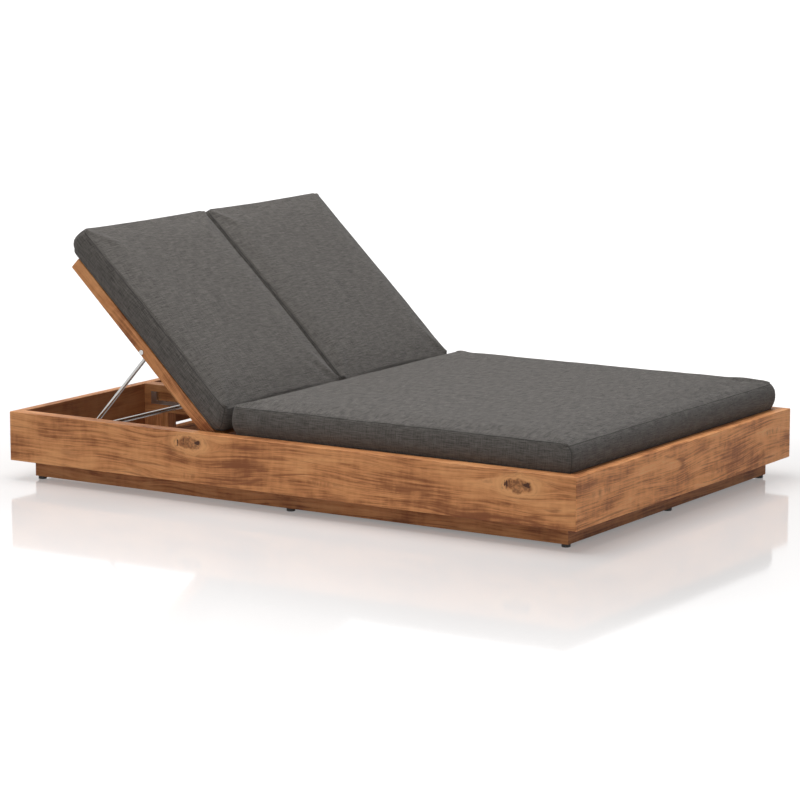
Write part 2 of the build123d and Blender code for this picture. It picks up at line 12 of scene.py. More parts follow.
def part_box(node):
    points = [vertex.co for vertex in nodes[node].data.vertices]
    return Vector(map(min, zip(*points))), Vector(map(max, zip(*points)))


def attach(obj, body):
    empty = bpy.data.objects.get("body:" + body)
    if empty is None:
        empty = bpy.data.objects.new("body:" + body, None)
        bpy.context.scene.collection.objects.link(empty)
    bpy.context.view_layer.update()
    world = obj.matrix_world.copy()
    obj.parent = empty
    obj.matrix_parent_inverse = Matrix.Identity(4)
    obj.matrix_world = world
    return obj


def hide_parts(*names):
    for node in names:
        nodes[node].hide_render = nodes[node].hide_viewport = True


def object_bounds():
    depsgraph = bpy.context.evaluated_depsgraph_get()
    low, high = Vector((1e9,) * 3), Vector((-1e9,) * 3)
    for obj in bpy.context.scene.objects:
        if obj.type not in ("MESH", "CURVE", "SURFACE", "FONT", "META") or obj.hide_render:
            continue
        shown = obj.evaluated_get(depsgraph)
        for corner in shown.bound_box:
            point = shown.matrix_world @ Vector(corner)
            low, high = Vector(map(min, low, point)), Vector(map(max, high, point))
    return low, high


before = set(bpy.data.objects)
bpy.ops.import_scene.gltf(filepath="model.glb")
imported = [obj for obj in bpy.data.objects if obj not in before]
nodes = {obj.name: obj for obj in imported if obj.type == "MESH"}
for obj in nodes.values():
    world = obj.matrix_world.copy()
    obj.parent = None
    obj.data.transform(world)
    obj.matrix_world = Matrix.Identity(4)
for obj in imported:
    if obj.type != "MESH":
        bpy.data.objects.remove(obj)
cad_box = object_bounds()

# The photographed angle of the backs
recline = math.radians(44.0)

# Camera, fitted to the straight edges in the photo
camera_place = (-8.3436, -5.3248, 1.9193)
camera_heading = math.radians(32.565)
camera_dip = math.radians(9.603)
camera_lens = 146.58
sensor_width = 36.0
camera_sight = 200.0

# Colours as they show in plain light
teak_light = (0.80, 0.385, 0.160, 1)
teak_middle = (0.61, 0.255, 0.095, 1)
teak_dark = (0.25, 0.084, 0.029, 1)
# Painted shade: the darker teak laid on the boards' faces inside the tray
teak_painted_shade = (0.16, 0.055, 0.020, 1)
knot_brown = (0.075, 0.026, 0.011, 1)
knot_gold = (0.88, 0.45, 0.19, 1)
cloth_light = (0.150, 0.136, 0.123, 1)
cloth_dark = (0.040, 0.036, 0.032, 1)
thread_grey = (0.055, 0.052, 0.049, 1)
steel_grey = (0.50, 0.50, 0.49, 1)
glide_black = (0.018, 0.018, 0.018, 1)
floor_white = (0.74, 0.725, 0.72, 1)

# Floor: its finish, and where past the tray its glow starts to rise and is full
floor_half = 40.0
floor_roughness = 0.07
floor_gloss = 0.22
floor_glow = (1.0, 0.985, 0.98, 1)
cove_start = 0.1
cove_reach = 1.7
near_glow = 0.23
far_glow = 0.64

# The room's light, and the lamps: place, size and power
room_white = (1, 1, 1, 1)
room_strength = 0.20
lamp_aim = (0.0, 0.0, 0.2)
softboxes = {
    "overhead softbox": ((-0.3, 0.35, 3.6), 3.2, 116.0),
    "front softbox": ((-5.8, -1.9, 2.2), 2.2, 41.0),
}

# The tray's half sizes outside, and its inner faces
tray_half = (cad_box[1].x, cad_box[1].y, 0.0)
tray_inside = (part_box("right_side_board")[0].x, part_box("head_board")[0].y)


class Tree:
    """Adds nodes to a material or group, and links or sets their sockets by name."""

    def __init__(self, tree):
        self.tree = tree

    def add(self, kind, output=0, settings=None, **sockets):
        """A new node with these settings and inputs. Returns one of its outputs."""
        made = self.tree.nodes.new("ShaderNode" + kind)
        for name, value in (settings or {}).items():
            setattr(made, name, value)
        for name, value in sockets.items():
            self.put(made, name.replace("_", " "), value)
        return made.outputs[output]

    def feed(self, socket, value):
        """Links a socket to an output, or sets its value."""
        if isinstance(value, bpy.types.NodeSocket):
            self.tree.links.new(value, socket)
        else:
            socket.default_value = value

    def put(self, made, name, value):
        """Feeds a node's input by its name, or by its number as i0, i1 and so on."""
        self.feed(made.inputs[int(name[1:])] if name[1:].isdigit() else made.inputs[name], value)

    def sum(self, one, other, operation="ADD"):
        """A sum of two numbers: they are added, unless another operation is named."""
        return self.add("Math", settings={"operation": operation}, i0=one, i1=other)

    def weigh(self, total, part, weight):
        """The total with a weighted part added to it."""
        return self.add("Math", settings={"operation": "MULTIPLY_ADD"}, i0=part, i1=weight, i2=total)

    def vectors(self, one, other, operation="ADD"):
        return self.add("VectorMath", settings={"operation": operation}, i0=one, i1=other)

    def stretch(self, vector, scale):
        return self.vectors(vector, scale, "MULTIPLY")

    def absolute(self, vector):
        return self.add("VectorMath", settings={"operation": "ABSOLUTE"}, i0=vector)

    def length(self, vector):
        return self.add("VectorMath", output=1, settings={"operation": "LENGTH"}, i0=vector)

    def parts(self, vector):
        """The X, Y and Z of a vector, by name."""
        made = self.tree.nodes.new("ShaderNodeSeparateXYZ")
        self.put(made, "Vector", vector)
        return made.outputs

    def drawn_noise(self, vector, scale, seed, detail, roughness):
        """Noise with its own scale along each direction, different for each seed."""
        return self.add(
            "TexNoise",
            settings={"noise_dimensions": "4D"},
            Vector=self.stretch(vector, scale),
            W=seed,
            Scale=1.0,
            Detail=detail,
            Roughness=roughness,
        )

    def ramp(self, value, low, high, to_low=0.0, to_high=1.0):
        """A soft step from one value to another while the input goes from low to high."""
        return self.add(
            "MapRange",
            settings={"interpolation_type": "SMOOTHSTEP"},
            Value=value,
            From_Min=low,
            From_Max=high,
            To_Min=to_low,
            To_Max=to_high,
        )

    def blend(self, share, one, other):
        """One colour with a share of the other laid over it."""
        made = self.tree.nodes.new("ShaderNodeMix")
        made.data_type = "RGBA"
        colours = [socket for socket in made.inputs if socket.type == "RGBA"]
        for socket, value in ((made.inputs[0], share), (colours[0], one), (colours[1], other)):
            self.feed(socket, value)
        return [socket for socket in made.outputs if socket.type == "RGBA"][0]


def new_group(name, inputs, outputs):
    """A shader node group with these sockets, its Tree, and its inner ends."""
    group = bpy.data.node_groups.new(name, "ShaderNodeTree")
    for way, sockets in (("INPUT", inputs), ("OUTPUT", outputs)):
        for socket, kind in sockets.items():
            group.interface.new_socket(socket, in_out=way, socket_type="NodeSocket" + kind)
    start = group.nodes.new("NodeGroupInput")
    end = group.nodes.new("NodeGroupOutput")
    return group, Tree(group), start.outputs, end.inputs


def use_group(tree, group, **values):
    """Places a group in a material and returns its outputs."""
    made = tree.tree.nodes.new("ShaderNodeGroup")
    made.node_tree = group
    for name, value in values.items():
        tree.put(made, name.replace("_", " "), value)
    return made.outputs


def put_out(tree, end, **values):
    """Links a group's results to its outputs."""
    for name, value in values.items():
        tree.tree.links.new(value, end[name])


# Noise: its middle, and the limits that nearly all of it keeps to
noise_middle = 0.5
noise_range = (0.3, 0.7)

# A knot: how its outline is drawn out along the grain, and its places and edges in its own half heights
knot_stretch = (0.48, 0.30, 1.0)
knot_unevenness = 0.030
knot_uneven_scale = 38.0
knot_edge = (1.05, 0.80)
bow_fade = (6.5, 0.6)
pit_place = (-0.62, 0.25)
pit_edge = (0.42, 0.24)
flank_place = (0.75, 0.05)
flank_edge = (0.75, 0.35)
ring_edge = (2.2, 1.2)
ring_start = (0.9, 1.1)
ring_waves = 17.0
ring_depth = (0.5, 1.0)

# The knot's mottle and cracks: where in the noise they start and end, and how much of the brown shows
mottle_scale = 120.0
mottle_range = (0.36, 0.62)
mottle_depth = (0.20, 0.65)
crack_scale = (170.0, 60.0, 60.0)
crack_range = (0.48, 0.58)

# A smudge: how it is drawn out along the grain, its edge in half heights, and its ripples
smudge_stretch = (0.17, 0.30, 1.0)
smudge_edge = (1.5, 0.2)
smudge_ripples = (55.0, 20.0, 20.0)
smudge_range = (0.40, 0.64)


def knot_group():
    """A knot: its mottled core with a dark pit, the pale ring round it, and how far the grain bows."""
    inputs = {"Grain": "Vector", "Centre": "Vector", "Size": "Float"}
    outputs = {"Core": "Float", "Ring": "Float", "Shift": "Float"}
    group, tree, start, end = new_group("knot", inputs, outputs)
    size = start["Size"]
    away = tree.vectors(start["Grain"], start["Centre"], "SUBTRACT")
    place = tree.parts(away)
    along = tree.sum(tree.sum(place["X"], size, "DIVIDE"), 0.0, "ABSOLUTE")
    near = tree.ramp(along, *bow_fade)
    height = place["Z"]
    reach_squared = tree.sum(tree.sum(size, size, "MULTIPLY"), near, "MULTIPLY")
    bowed = tree.sum(tree.sum(height, height, "MULTIPLY"), reach_squared, "SUBTRACT")
    bowed = tree.sum(tree.sum(bowed, 0.0, "MAXIMUM"), 0.5, "POWER")
    bowed = tree.sum(bowed, tree.sum(height, 0.0, "SIGN"), "MULTIPLY")
    shift = tree.sum(bowed, height, "SUBTRACT")
    rough = tree.add("TexNoise", output=1, Vector=start["Grain"], Scale=knot_uneven_scale, Detail=4.0)
    rough = tree.vectors(rough, (noise_middle,) * 3, "SUBTRACT")
    rough = tree.stretch(rough, (knot_unevenness,) * 3)
    away = tree.stretch(tree.vectors(away, rough), knot_stretch)

    def reach_from(offset):
        """Distance from a point of the knot, in half heights."""
        moved = tree.stretch(tree.add("CombineXYZ", X=offset[0], Z=offset[1]), size)
        return tree.sum(tree.length(tree.vectors(away, moved, "SUBTRACT")), size, "DIVIDE")

    reach = reach_from((0.0, 0.0))
    mottle = tree.add("TexNoise", Vector=start["Grain"], Scale=mottle_scale, Detail=4.0)
    mottle = tree.ramp(mottle, *mottle_range, *mottle_depth)
    core = tree.sum(tree.ramp(reach, *knot_edge), mottle, "MULTIPLY")
    pit = tree.ramp(reach_from(pit_place), *pit_edge)
    cracks = tree.stretch(start["Grain"], crack_scale)
    cracks = tree.add("TexNoise", Vector=cracks, Scale=1.0, Detail=3.0)
    cracks = tree.ramp(cracks, *crack_range)
    flank = tree.sum(tree.ramp(reach_from(flank_place), *flank_edge), cracks, "MULTIPLY")
    core = tree.sum(tree.sum(core, pit, "MAXIMUM"), flank, "MAXIMUM")
    rings = tree.sum(tree.sum(reach, ring_waves, "MULTIPLY"), 0.0, "SINE")
    ring = tree.sum(tree.ramp(reach, *ring_edge), tree.ramp(rings, -1.0, 1.0, *ring_depth), "MULTIPLY")
    ring = tree.sum(ring, tree.ramp(reach, *ring_start), "MULTIPLY")
    put_out(tree, end, Core=core, Ring=ring, Shift=shift)
    return group


def smudge_group():
    """A smoky mark drawn out along the grain and rippled across it."""
    inputs = {"Grain": "Vector", "Centre": "Vector", "Size": "Float"}
    group, tree, start, end = new_group("smudge", inputs, {"Stain": "Float"})
    away = tree.vectors(start["Grain"], start["Centre"], "SUBTRACT")
    reach = tree.sum(tree.length(tree.stretch(away, smudge_stretch)), start["Size"], "DIVIDE")
    ripple = tree.stretch(start["Grain"], smudge_ripples)
    ripple = tree.add("TexNoise", Vector=ripple, Scale=1.0, Detail=3.0)
    stain = tree.sum(tree.ramp(reach, *smudge_edge), tree.ramp(ripple, *smudge_range), "MULTIPLY")
    put_out(tree, end, Stain=stain)
    return group


# Layers of the teak's figure: scale along and across the grain, detail and roughness
teak_layers = {
    "wander": ((1.3, 4.0, 4.0), 2.0, 0.55),
    "streaks": ((5.0, 210.0, 210.0), 5.0, 0.68),
    "bands": ((2.4, 46.0, 46.0), 4.0, 0.65),
    "patches": ((4.2, 13.0, 13.0), 4.0, 0.6),
    "ripples": ((46.0, 12.0, 12.0), 3.0, 0.55),
    "breaks": ((7.0, 60.0, 60.0), 3.0, 0.55),
    "contours": ((0.42, 9.0, 9.0), 1.0, 0.55),
    "veins": ((3.4, 120.0, 120.0), 4.0, 0.55),
    "smoke": ((6.0, 26.0, 26.0), 4.0, 0.55),
    "pores": ((22.0, 620.0, 620.0), 2.0, 0.55),
}

# What each layer adds to the tone, and how far the grain wanders up and down, in metres
streak_weight = 0.40
band_weight = 0.16
patch_weight = 0.50
ripple_weight = 0.12
wander_reach = 0.12

# Where along the tone one colour turns into the next
dark_to_middle = (0.48, 0.61)
middle_to_light = (0.56, 0.72)

# Marks over the tone: where each starts and is full, and how strongly it shows
line_range = (0.008, 0.001)
break_range = (0.46, 0.58)
line_strength = 0.8
vein_range = (0.60, 0.68)
vein_strength = 0.55
smoke_range = (0.57, 0.74)
smoke_strength = 0.9
stain_strength = 0.62
pore_range = (0.60, 0.70)
pore_strength = 0.35
ring_strength = 0.8

# Roughness of the wood from its soft streaks to its hard ones
teak_roughness = (0.62, 0.48)


def teak_group():
    """Oiled teak: fine streaks, broader bands, dark lines that wander together, smoke and pores."""
    inputs = {"Grain": "Vector", "Seed": "Float", "Light": "Color", "Middle": "Color", "Dark": "Color"}
    inputs.update({"Core": "Float", "Ring": "Float", "Shift": "Float", "Stain": "Float"})
    outputs = {"Color": "Color", "Roughness": "Float", "Height": "Float"}
    group, tree, start, end = new_group("teak", inputs, outputs)
    dark = start["Dark"]

    def layer(name, vector):
        scale, detail, roughness = teak_layers[name]
        return tree.drawn_noise(vector, scale, start["Seed"], detail, roughness)

    wander = tree.sum(layer("wander", start["Grain"]), wander_reach, "MULTIPLY")
    lift = tree.add("CombineXYZ", Z=tree.sum(wander, start["Shift"]))
    grain = tree.vectors(start["Grain"], lift)
    streaks = layer("streaks", grain)
    ripples = layer("ripples", start["Grain"])
    tone = tree.sum(streaks, streak_weight, "MULTIPLY")
    tone = tree.weigh(tone, layer("bands", grain), band_weight)
    tone = tree.weigh(tone, layer("patches", grain), patch_weight)
    tone = tree.weigh(tone, ripples, ripple_weight)
    colour = tree.blend(tree.ramp(tone, *dark_to_middle), dark, start["Middle"])
    colour = tree.blend(tree.ramp(tone, *middle_to_light), colour, start["Light"])
    breaks = tree.ramp(layer("breaks", start["Grain"]), *break_range)
    contours = tree.sum(layer("contours", grain), noise_middle, "SUBTRACT")
    contours = tree.sum(contours, 0.0, "ABSOLUTE")
    lines = tree.sum(tree.ramp(contours, *line_range), breaks, "MULTIPLY")
    colour = tree.blend(tree.sum(lines, line_strength, "MULTIPLY"), colour, dark)
    veins = tree.ramp(layer("veins", grain), *vein_range)
    colour = tree.blend(tree.sum(veins, vein_strength, "MULTIPLY"), colour, dark)
    smoke = tree.sum(tree.ramp(layer("smoke", grain), *smoke_range), ripples, "MULTIPLY")
    smoke = tree.sum(smoke, smoke_strength, "MULTIPLY")
    smoke = tree.weigh(smoke, start["Stain"], stain_strength)
    colour = tree.blend(smoke, colour, dark)
    pores = tree.ramp(layer("pores", grain), *pore_range)
    colour = tree.blend(tree.sum(pores, pore_strength, "MULTIPLY"), colour, dark)
    colour = tree.blend(tree.sum(start["Ring"], ring_strength, "MULTIPLY"), colour, knot_gold)
    colour = tree.blend(start["Core"], colour, knot_brown)
    height = tree.sum(tree.sum(streaks, pores, "SUBTRACT"), start["Core"], "SUBTRACT")
    roughness = tree.ramp(streaks, *noise_range, *teak_roughness)
    put_out(tree, end, Color=colour, Roughness=roughness, Height=height)
    return group


# Yarns and slubs of the weave: scale along the two threads, detail, and weight in the tone
yarn_layers = (
    ((34.0, 560.0, 1.0), 3.0, 0.34),
    ((560.0, 34.0, 1.0), 3.0, 0.26),
    ((22.0, 290.0, 1.0), 2.0, 0.38),
    ((290.0, 22.0, 1.0), 2.0, 0.22),
    ((18.0, 120.0, 1.0), 2.0, 0.10),
    ((260.0, 260.0, 1.0), 2.0, 0.14),
    ((700.0, 700.0, 1.0), 1.0, 0.10),
)
yarn_roughness = 0.6
heather_scale = (34.0, 60.0, 1.0)
heather_detail = 3.0
thread_scale = 210.0
cloth_tone_range = (0.61, 0.93)
cloth_rough_range = (0.6, 0.95)
cloth_roughness = (0.95, 0.82)


def cloth_group():
    """A plain weave of uneven yarns: long slubs both ways, heathered, with fine threads in relief."""
    inputs = {"Place": "Vector", "Seed": "Float", "Heather": "Float", "Light": "Color", "Dark": "Color"}
    outputs = {"Color": "Color", "Roughness": "Float", "Height": "Float"}
    group, tree, start, end = new_group("woven cloth", inputs, outputs)

    def yarn(scale, detail):
        return tree.drawn_noise(start["Place"], scale, start["Seed"], detail, yarn_roughness)

    heather = tree.sum(yarn(heather_scale, heather_detail), noise_middle, "SUBTRACT")
    tone = tree.sum(heather, start["Heather"], "MULTIPLY")
    for scale, detail, weight in yarn_layers:
        tone = tree.weigh(tone, yarn(scale, detail), weight)
    colour = tree.blend(tree.ramp(tone, *cloth_tone_range), start["Dark"], start["Light"])
    waves = [
        tree.add("TexWave", settings={"bands_direction": way}, Vector=start["Place"], Scale=thread_scale)
        for way in ("X", "Y")
    ]
    height = tree.sum(tree.sum(*waves), tone)
    roughness = tree.ramp(tone, *cloth_rough_range, *cloth_roughness)
    put_out(tree, end, Color=colour, Roughness=roughness, Height=height)
    return group


# Drawn metal: its lines and smudges, and how far they lower or raise its roughness
metal_line_scale = 900.0
metal_smudge_scale = 40.0
metal_range = (0.7, 1.3)
metal_spread = (-0.06, 0.09)


def brushed_group():
    """Drawn or turned metal: fine uneven lines in the roughness and relief."""
    inputs = {"Place": "Vector", "Mean": "Float"}
    outputs = {"Roughness": "Float", "Height": "Float"}
    group, tree, start, end = new_group("drawn metal", inputs, outputs)
    lines = tree.add("TexNoise", Vector=start["Place"], Scale=metal_line_scale, Detail=2.0)
    smudge = tree.add("TexNoise", Vector=start["Place"], Scale=metal_smudge_scale, Detail=3.0)
    spread = tree.ramp(tree.sum(lines, smudge), *metal_range, *metal_spread)
    put_out(tree, end, Roughness=tree.sum(start["Mean"], spread), Height=lines)
    return group


knot_effect = knot_group()
smudge_effect = smudge_group()
teak_effect = teak_group()
cloth_effect = cloth_group()
metal_effect = brushed_group()


def new_material(name):
    """A material, the Tree of its nodes, and its shader, linked to the output."""
    material = bpy.data.materials.new(name)
    material.use_nodes = True
    material.node_tree.nodes.clear()
    tree = Tree(material.node_tree)
    shader = material.node_tree.nodes.new("ShaderNodeBsdfPrincipled")
    output = material.node_tree.nodes.new("ShaderNodeOutputMaterial")
    material.node_tree.links.new(shader.outputs[0], output.inputs["Surface"])
    return material, tree, shader


def relief(tree, shader, height, distance, strength):
    """Fine relief in the shader's normal, from a height that varies over the surface."""
    bump = tree.add("Bump", Height=height, Distance=distance, Strength=strength)
    tree.put(shader, "Normal", bump)


# Which way a timber's grain runs, as the turn that lays its length on X
grain_turns = {
    "across": (0.0, 0.0, 0.0),
    "lengthways": (0.0, 0.0, -math.pi / 2),
    "up": (0.0, math.pi / 2, 0.0),
}


# How far past a board's inner face the painted shade starts and is full, and how much of it shows
painted_shade_start = 0.0015
painted_shade_end = 0.0005
painted_shade_depth = 0.65

# Gloss of the finishes, and their relief as its height in metres and its strength
teak_gloss = 0.3
teak_relief = (0.0008, 0.5)
cloth_sheen = 0.14
cloth_sheen_roughness = 0.4
cloth_relief = (0.0004, 0.6)
metal_relief = (0.0001, 0.3)
glide_relief = (0.0002, 0.4)
glide_roughness = (0.40, 0.55)
grit_scale = 600.0
twist_scale = 900.0
thread_roughness = 0.9

# How far a cushion's face has to turn up before its heathered slubs start to show, and show in full
heather_facing = (0.35, 0.7)


def painted_shade_inside(tree, place):
    """1 on the boards' faces inside the tray, where painted shade darkens the teak, and 0 outside."""
    parts = tree.parts(tree.absolute(place))
    masks = [
        tree.ramp(parts[axis], limit + painted_shade_start, limit + painted_shade_end)
        for axis, limit in zip("XY", tray_inside)
    ]
    return tree.sum(*masks, "MULTIPLY")


def shaded(colour, shade):
    """A colour made lighter or darker, without a change to its alpha."""
    return tuple(channel * shade for channel in colour[:3]) + (1,)


def teak(name, run, seed, shade=1.0, knots=(), smudges=(), board=False):
    """Teak with its grain one way. A knot or smudge has its place along the grain and a half height."""
    material, tree, shader = new_material(name)
    place = tree.add("TexCoord", output=3)
    # Mask of the painted shade on the boards' faces inside the tray
    inside = painted_shade_inside(tree, place) if board else None
    if run == "on_back":
        place = tree.add("Mapping", Vector=place, Rotation=(-recline, 0.0, 0.0))
        run = "lengthways"
    grain = tree.add("Mapping", Vector=place, Rotation=grain_turns[run])
    sums = {"Core": 0.0, "Ring": 0.0, "Shift": 0.0, "Stain": 0.0}
    for effect, marks in ((knot_effect, knots), (smudge_effect, smudges)):
        for centre, size in marks:
            mark = use_group(tree, effect, Grain=grain, Centre=centre, Size=size)
            for part in mark.keys():
                sums[part] = tree.sum(sums[part], mark[part])
    tones = {"Light": teak_light, "Middle": teak_middle, "Dark": teak_dark}
    # The shade makes the colours lighter or darker: painted light or painted shade on some timbers
    tones = {part: shaded(colour, shade) for part, colour in tones.items()}
    wood = use_group(tree, teak_effect, Grain=grain, Seed=seed, **tones, **sums)
    colour = wood["Color"]
    # The boards' inner faces get the darker teak as painted shade
    if board:
        colour = tree.blend(tree.sum(inside, painted_shade_depth, "MULTIPLY"), colour, teak_painted_shade)
    tree.put(shader, "Base Color", colour)
    tree.put(shader, "Roughness", wood["Roughness"])
    shader.inputs["Specular IOR Level"].default_value = teak_gloss
    relief(tree, shader, wood["Height"], *teak_relief)
    return material


def cloth(name, seed, heather):
    """The cushions' woven cloth, with its heathered slubs on the faces that look up."""
    material, tree, shader = new_material(name)
    place = tree.add("UVMap", settings={"uv_map": "cloth"})
    facing = tree.parts(tree.add("TexCoord", output=1))
    heather = tree.sum(tree.ramp(facing["Z"], *heather_facing), heather, "MULTIPLY")
    tones = {"Light": cloth_light, "Dark": cloth_dark}
    weave = use_group(tree, cloth_effect, Place=place, Seed=seed, Heather=heather, **tones)
    tree.put(shader, "Base Color", weave["Color"])
    tree.put(shader, "Roughness", weave["Roughness"])
    shader.inputs["Sheen Weight"].default_value = cloth_sheen
    shader.inputs["Sheen Roughness"].default_value = cloth_sheen_roughness
    relief(tree, shader, weave["Height"], *cloth_relief)
    return material


def metal(name, colour, mean):
    """Drawn or turned steel with this mean roughness."""
    material, tree, shader = new_material(name)
    place = tree.add("TexCoord", output=3)
    drawn = use_group(tree, metal_effect, Place=place, Mean=mean)
    shader.inputs["Base Color"].default_value = colour
    shader.inputs["Metallic"].default_value = 1.0
    tree.put(shader, "Roughness", drawn["Roughness"])
    relief(tree, shader, drawn["Height"], *metal_relief)
    return material


def moulded(name, colour):
    """Moulded plastic with a faint grit."""
    material, tree, shader = new_material(name)
    place = tree.add("TexCoord", output=3)
    grit = tree.add("TexNoise", Vector=place, Scale=grit_scale, Detail=2.0)
    shader.inputs["Base Color"].default_value = colour
    tree.put(shader, "Roughness", tree.ramp(grit, *noise_range, *glide_roughness))
    relief(tree, shader, grit, *glide_relief)
    return material


def thread(name):
    """The twisted thread of the seams."""
    material, tree, shader = new_material(name)
    place = tree.add("TexCoord", output=3)
    twist = tree.add("TexNoise", Vector=place, Scale=twist_scale, Detail=1.0)
    tree.put(shader, "Base Color", tree.blend(twist, thread_grey, cloth_dark))
    shader.inputs["Roughness"].default_value = thread_roughness
    return material


def paint(material, *names):
    """Gives the CAD pieces of these nodes one material."""
    for name in names:
        mesh = nodes[name].data
        mesh.materials.clear()
        mesh.materials.append(material)


side_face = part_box("right_side_board")[1].x
end_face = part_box("head_board")[1].y

# Knots and smudges on the outer faces of the boards
left_knots = (
    ((-0.815, side_face, 0.173), 0.021),
    ((0.314, side_face, 0.180), 0.020),
)
left_smudges = (
    ((-0.735, side_face, 0.078), 0.010),
    ((-0.640, side_face, 0.080), 0.006),
    ((0.330, side_face, 0.082), 0.009),
    ((-0.150, side_face, 0.110), 0.010),
    ((-0.420, side_face, 0.120), 0.014),
)
foot_smudges = (
    ((-0.520, -end_face, 0.150), 0.012),
    ((-0.480, -end_face, 0.100), 0.008),
    ((0.250, -end_face, 0.165), 0.011),
    ((0.545, -end_face, 0.160), 0.010),
    ((0.200, -end_face, 0.095), 0.008),
)
right_knots = (((0.52, -side_face, 0.12), 0.017),)
right_smudges = (
    ((-0.35, -side_face, 0.17), 0.012),
    ((0.05, -side_face, 0.09), 0.010),
)
head_knots = (((0.25, end_face, 0.11), 0.016),)

# How light each kind of timber is against the teak's colours, some of it painted light or painted shade
# Painted light: the foot board and the near side board are made lighter than the teak's colours
foot_painted_light = 1.42
left_painted_light = 1.06
full_shade = 1.0
# Painted shade: the plinths under the tray, the timbers inside it and the blocks are made darker
plinth_painted_shade = 0.72
inner_painted_shade = 0.7
block_painted_shade = 0.85

# The boards of the tray: node, way of the grain, seed, shade, knots and smudges
boards = {
    "foot": ("foot_board", "across", 3.1, foot_painted_light, (), foot_smudges),
    "head": ("head_board", "across", 7.4, full_shade, head_knots, ()),
    "left": ("left_side_board", "lengthways", 1.7, left_painted_light, left_knots, left_smudges),
    "right": ("right_side_board", "lengthways", 5.2, full_shade, right_knots, right_smudges),
}
# Each board gets the painted shade on its faces inside the tray
for side, (node, run, seed, shade, knots, smudges) in boards.items():
    paint(teak(f"{side} board teak", run, seed, shade, knots, smudges, board=True), node)

# The other timbers: material, way of the grain, seed, shade and the nodes that have it
timbers = [
    ("plinth teak across", "across", 9.3, plinth_painted_shade, ("foot_plinth", "head_plinth")),
    (
        "plinth teak lengthways",
        "lengthways",
        8.8,
        plinth_painted_shade,
        ("left_plinth", "right_plinth", "centre_plinth"),
    ),
    (
        "inner teak lengthways",
        "lengthways",
        12.5,
        inner_painted_shade,
        (
            "left_base_ledger",
            "right_base_ledger",
            "left_deck_ledger",
            "right_deck_ledger",
            "centre_joist",
            "centre_beam",
            "left_rack_rail",
            "right_rack_rail",
        ),
    ),
    (
        "inner teak across",
        "across",
        14.1,
        inner_painted_shade,
        ("foot_base_ledger", "foot_deck_ledger", "hinge_bearer"),
    ),
    ("slat teak", "across", 17.9, full_shade, ("deck_slats",)),
    ("block teak", "up", 19.4, block_painted_shade, ("foot_corner_blocks", "head_corner_blocks", "centre_post")),
]
cross_seed = 2.2
for side, seed in (("left", 21.3), ("right", 26.6)):
    rails = (f"{side}_back_outer_rail", f"{side}_back_inner_rail")
    crossing = (f"{side}_back_bottom_rail", f"{side}_back_top_rail", f"{side}_back_slats")
    timbers.append((f"{side} rail teak", "on_back", seed, full_shade, rails))
    timbers.append((f"{side} cross teak", "across", seed + cross_seed, full_shade, crossing))
for name, run, seed, shade, names in timbers:
    paint(teak(name, run, seed, shade), *names)

polished_roughness = 0.16
satin_roughness = 0.34
polished = metal("polished stainless", steel_grey, polished_roughness)
satin = metal("satin stainless", steel_grey, satin_roughness)
paint(satin, "left_outer_rack", "left_inner_rack", "right_inner_rack", "right_outer_rack")
paint(satin, "rack_screws", "deck_screws", "hinge_bolts", "hinge_spacers")
paint(moulded("black glides", glide_black), "feet")
for side in ("left", "right"):
    paint(polished, f"{side}_prop_crossbar", f"{side}_prop_legs", f"{side}_prop_bolts")
    paint(satin, f"{side}_prop_spacers", f"{side}_prop_nuts")

# Cushions: the mesh's cell, the rows beside a seam, and the rows along a panel's edge
cell = 0.012
seam_row = 0.0035
edge_rows = (0.004, 0.008)
fewest_band_rows = 4

# How far the cover is drawn in between its corners, and how high its middle rises, full and before that
side_pull = 0.0035
crown_height = 0.006
crown_start = 0.003

# Where the two seams run: their distance from the lower and upper edge, and how far in they lie
low_seam_rise = 0.010
low_seam_inset = 0.013
top_seam_drop = 0.009
top_seam_inset = 0.005
foot_edge_inset = 0.017
band_roundness = 0.9

# How far up from the lower end a back cushion's heel is drawn down, and how fast this fades with height
heel_reach = 0.14
heel_fade = 1.25

# Seams: how deep they are drawn in, the upright ones' share of that, and their thread
seam_depth = 0.0007
upright_seam_share = 0.8
seam_thread = 0.0009
thread_sides = 6

# Filling by cloth simulation, and the most that it moves the cover
fill_frames = 20
fill_quality = 6
fill_pressure = 1.2
cloth_mass = 0.3
cloth_stretch_stiffness = 12.0
cloth_shear_stiffness = 6.0
cloth_bending_stiffness = 0.4
swell_cap = 0.008

# The filled cover: how far past its outline it may reach, and how uneven its faces are
cover_slack = 0.001
uneven_height = 0.0014
uneven_scale = 5.0
uneven_noise = (0.6, 2.0, 3)


def local_box(node, turn):
    """A CAD node's lowest and highest corners after turning it back about X."""
    level = Matrix.Rotation(-turn, 3, "X")
    places = [level @ vertex.co for vertex in nodes[node].data.vertices]
    low = Vector([min(place[axis] for place in places) for axis in range(3)])
    high = Vector([max(place[axis] for place in places) for axis in range(3)])
    return low, high


def stops(half, fine):
    """Places from -half to half, close together towards both ends."""
    inner = half - sum(fine)
    steps = max(2, round(2 * inner / cell))
    middle = [-inner + 2 * inner * step / steps for step in range(steps + 1)]
    ends = []
    reach = inner
    for gap in reversed(fine):
        reach += gap
        ends.append(reach)
    return [-end for end in reversed(ends)] + middle + ends


